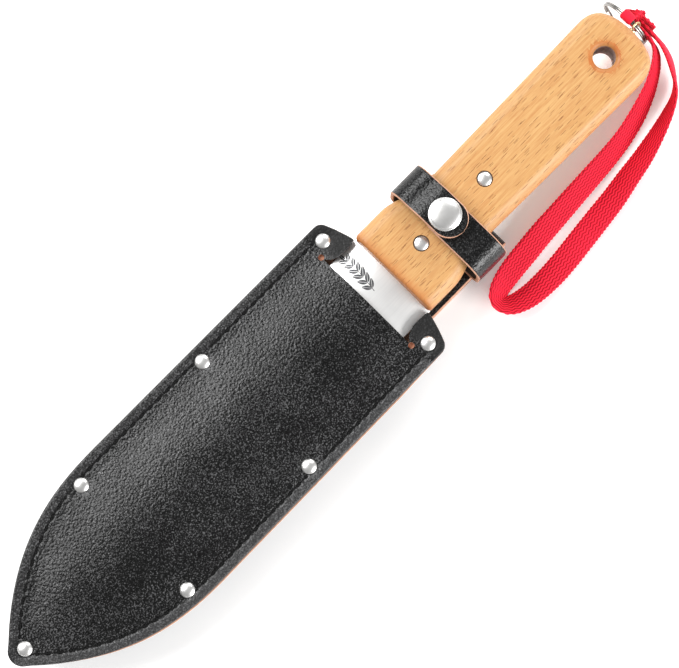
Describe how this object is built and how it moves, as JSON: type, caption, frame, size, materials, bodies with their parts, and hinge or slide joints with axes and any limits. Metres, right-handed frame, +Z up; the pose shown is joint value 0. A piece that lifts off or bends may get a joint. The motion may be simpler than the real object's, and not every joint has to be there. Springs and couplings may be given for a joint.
{
  "type": "hori hori knife",
  "caption": "Garden knife with a dished blade and beech handle in a riveted leather sheath, with a snapped keeper strap, a belt loop and a wrist lanyard on a split ring.",
  "frame": {"origin": "centre of the bounding box in plan, at the level of the table that the belt loop rests on", "axes": "+X along the knife towards the butt, +Y to the side away from the lanyard, +Z up out of the sheath's front"},
  "size_m": [0.3279, 0.0789, 0.0371],
  "materials": {
    "blade_steel": "satin",
    "beech": "satin lacquer",
    "nickel": "polished nickel",
    "brassed_steel": "satin",
    "webbing": "woven herringbone",
    "red_thread": "twisted thread",
    "leather": "glossy pebbled grain",
    "strap_leather": "smooth semi-gloss",
    "black_thread": "waxed thread",
    "spring_steel": "plain"
  },
  "bodies": {
    "sheath": {"back_panel": "leather", "welt": "leather", "front_panel": "leather", "edge_stitching": "black_thread", "sheath_rivet_caps": "nickel", "sheath_rivet_posts": "nickel", "belt_loop_rivet_caps": "nickel", "belt_loop_rivet_posts": "nickel", "strap_base": "strap_leather", "strap_stitching": "black_thread"},
    "knife": {"blade": "blade_steel", "handle": "beech", "handle_rivet_tubes": "nickel", "handle_rivet_pins": "nickel", "screw_eye": "brassed_steel"},
    "tether": {"split_ring": "nickel", "lanyard": "webbing", "lanyard_stitching": "red_thread"},
    "cap_end": {"strap_tab": "strap_leather", "snap_cap": "nickel", "snap_socket": "nickel", "snap_spring": "spring_steel"},
    "stud_end": {"strap_stud_end": "strap_leather", "snap_stud": "nickel", "snap_eyelet": "nickel"}
  },
  "joints": [
    {"name": "knife_draw", "type": "slide", "parent": "sheath", "child": "knife", "axis": [1, 0, 0], "range_m": [0, 0.24]},
    {"name": "tether_swing", "type": "hinge", "parent": "knife", "child": "tether", "pos_m": [0.1607, 0, 0.01964], "axis": [0, 0, 1], "range_deg": [0, 14]},
    {"name": "strap_cap_open", "type": "hinge", "parent": "sheath", "child": "cap_end", "pos_m": [0.0608, 0.01816, 0.03148], "axis": [-1, 0, 0], "range_deg": [0, 165]},
    {"name": "strap_stud_open", "type": "hinge", "parent": "sheath", "child": "stud_end", "pos_m": [0.0608, -0.02111, 0.02968], "axis": [1, 0, 0], "range_deg": [0, 45]}
  ],
  "couplings": [
    {"joint": "strap_stud_open", "follows": "strap_cap_open", "ratio": 0.25}
  ]
}
